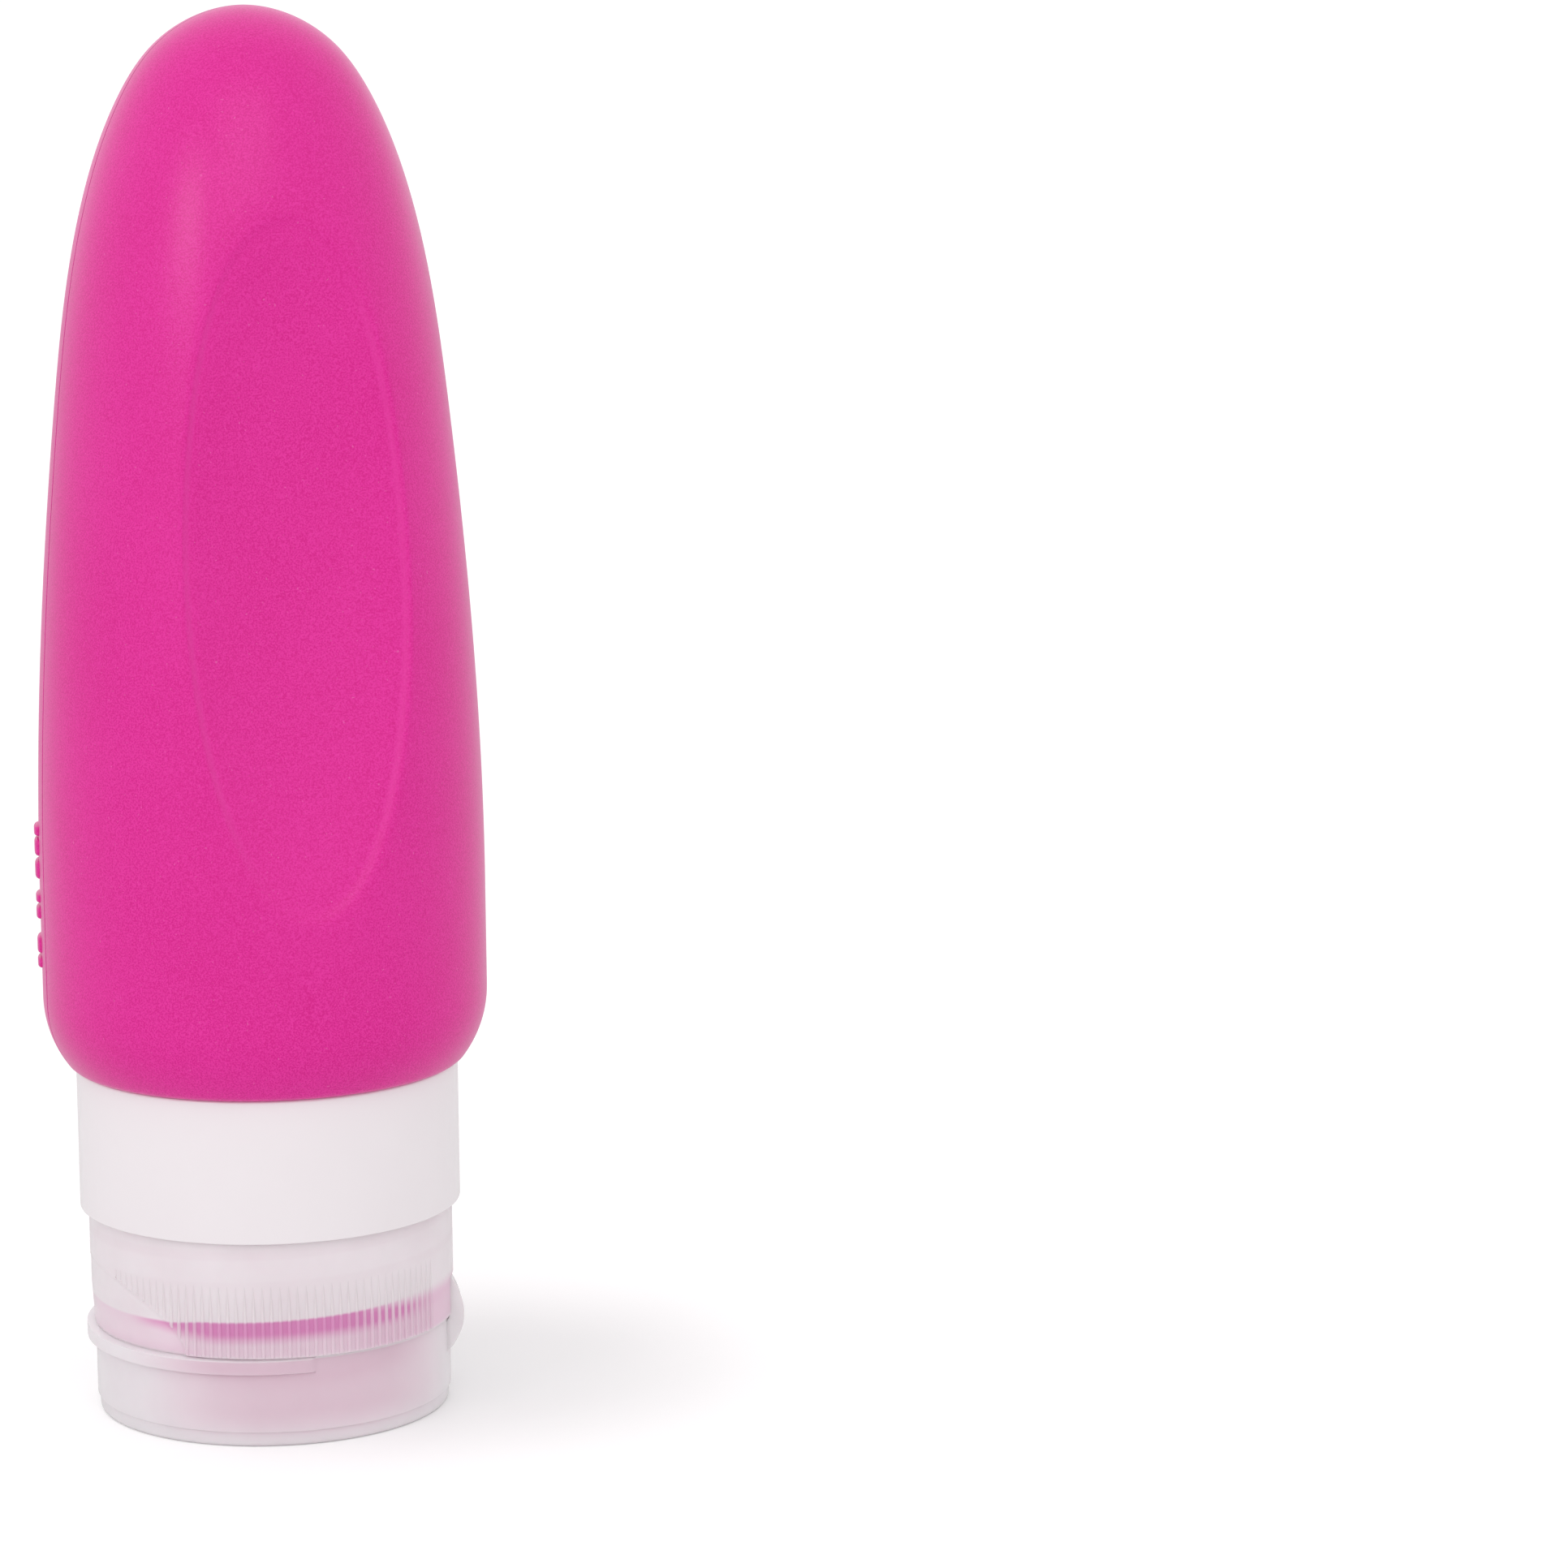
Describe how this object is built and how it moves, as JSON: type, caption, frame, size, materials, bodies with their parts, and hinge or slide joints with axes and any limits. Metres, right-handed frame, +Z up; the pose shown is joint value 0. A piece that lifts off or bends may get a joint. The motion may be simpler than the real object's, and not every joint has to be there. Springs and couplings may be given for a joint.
{
  "type": "travel silicone bottle",
  "caption": "Soft squeezable travel bottle with a thumb dish, standing on a flip-top screw cap with a slit drip valve.",
  "frame": {"origin": "centre of the lid's flat face, on the bottle's axis, where the closed bottle stands", "axes": "+Z up along the bottle's axis, +X towards the lid's hinge, -Y towards the thumb dish"},
  "size_m": [0.0448, 0.0448, 0.1419],
  "materials": {
    "pink_silicone": "satin moulded silicone",
    "valve_silicone": "satin moulded silicone",
    "white_plastic": "gloss moulded",
    "milky_plastic": "translucent moulded"
  },
  "bodies": {
    "bottle": {"squeeze_body": "pink_silicone", "collar_ring": "white_plastic", "neck_insert": "white_plastic"},
    "valve": {"drip_valve": "valve_silicone"},
    "cap": {"cap_base": "milky_plastic", "hinge_leaf_base": "milky_plastic"},
    "lid": {"lid": "milky_plastic", "hinge_leaf_lid": "milky_plastic"}
  },
  "joints": [
    {"name": "cap_lift", "type": "slide", "parent": "bottle", "child": "valve", "axis": [0, 0, -1], "range_m": [0, 0.0048]},
    {"name": "cap_turn", "type": "hinge", "parent": "valve", "child": "cap", "pos_m": [0, 0, 0.0172], "axis": [0, 0, -1], "range_deg": [0, 540]},
    {"name": "lid_flip", "type": "hinge", "parent": "cap", "child": "lid", "pos_m": [0.01845, 0, 0.00925], "axis": [0, -1, 0], "range_deg": [0, 180]}
  ],
  "couplings": [
    {"joint": "cap_lift", "follows": "cap_turn", "m_per_rad": 0.000509}
  ]
}
